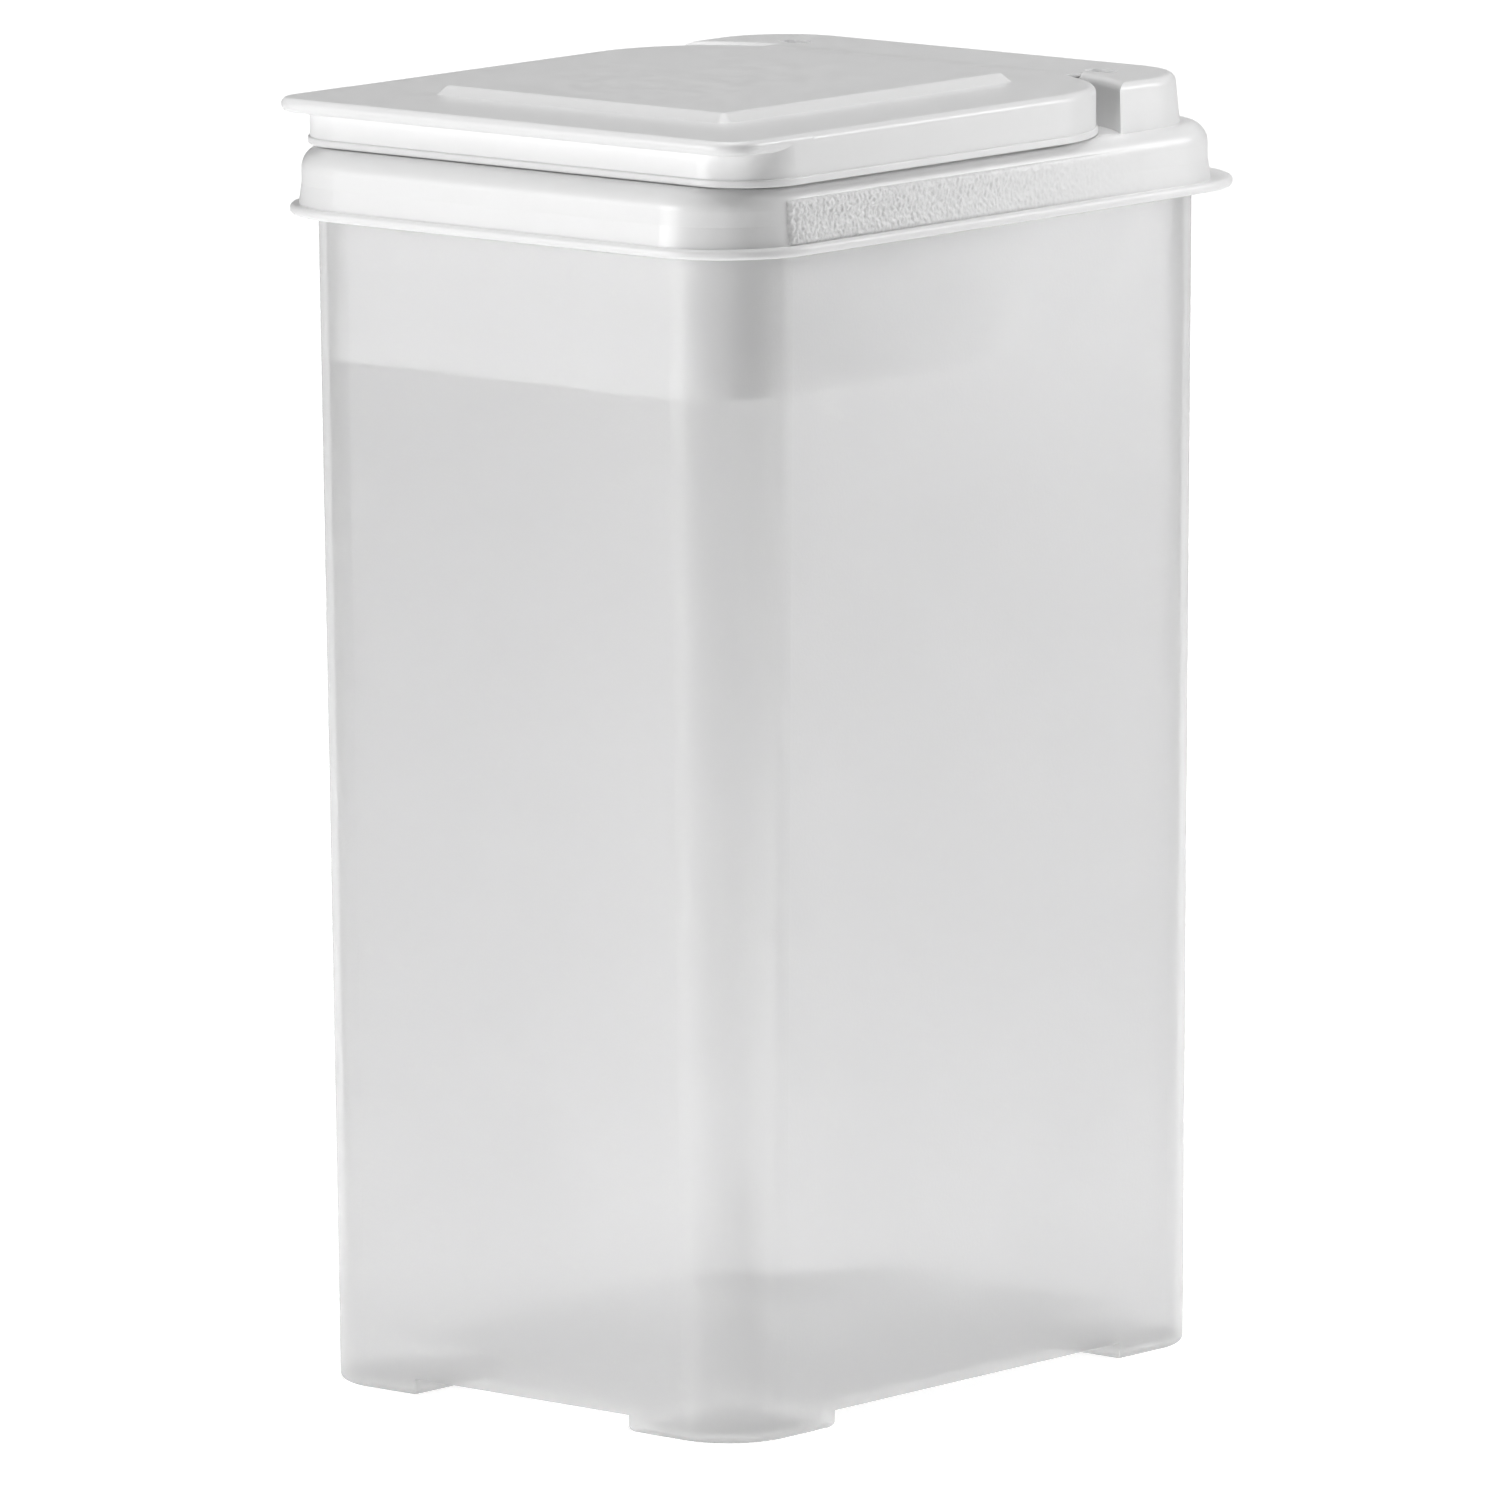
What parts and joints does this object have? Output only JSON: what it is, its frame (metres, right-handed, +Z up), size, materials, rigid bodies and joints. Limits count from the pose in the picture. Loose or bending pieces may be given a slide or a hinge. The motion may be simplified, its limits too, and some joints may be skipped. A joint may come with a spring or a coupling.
{
  "type": "cereal dispenser",
  "caption": "Tall rectangular frosted tub on corner feet, with a hanging pour insert and a press-fit white lid collar whose wide flip cap folds open at the rear.",
  "frame": {"origin": "middle of the overall box in plan, at the height of the four feet", "axes": "+Z up along the tub's height, +X to the object's left-to-right width seen from the front, front of the pour opening towards -Y, hinge at +Y"},
  "size_m": [0.1324, 0.1688, 0.2668],
  "materials": {
    "frosted_tub": "milky translucent polypropylene, satin",
    "white_insert": "satin white polypropylene",
    "white_lid": "semi-gloss white polypropylene, stippled grips on the skirt"
  },
  "bodies": {
    "tub": {"container": "frosted_tub"},
    "insert": {"pour_insert": "white_insert"},
    "collar": {"lid_collar": "white_lid"},
    "cap": {"flip_cap": "white_lid"}
  },
  "joints": [
    {"name": "insert_lift", "type": "slide", "parent": "tub", "child": "insert", "axis": [0, 0, 1], "range_m": [0, 0.06]},
    {"name": "lid_lift", "type": "slide", "parent": "insert", "child": "collar", "axis": [0, 0, 1], "range_m": [0, 0.05]},
    {"name": "cap_hinge", "type": "hinge", "parent": "collar", "child": "cap", "pos_m": [0, 0.0498, 0.265], "axis": [-1, 0, 0], "range_deg": [0, 165]}
  ]
}
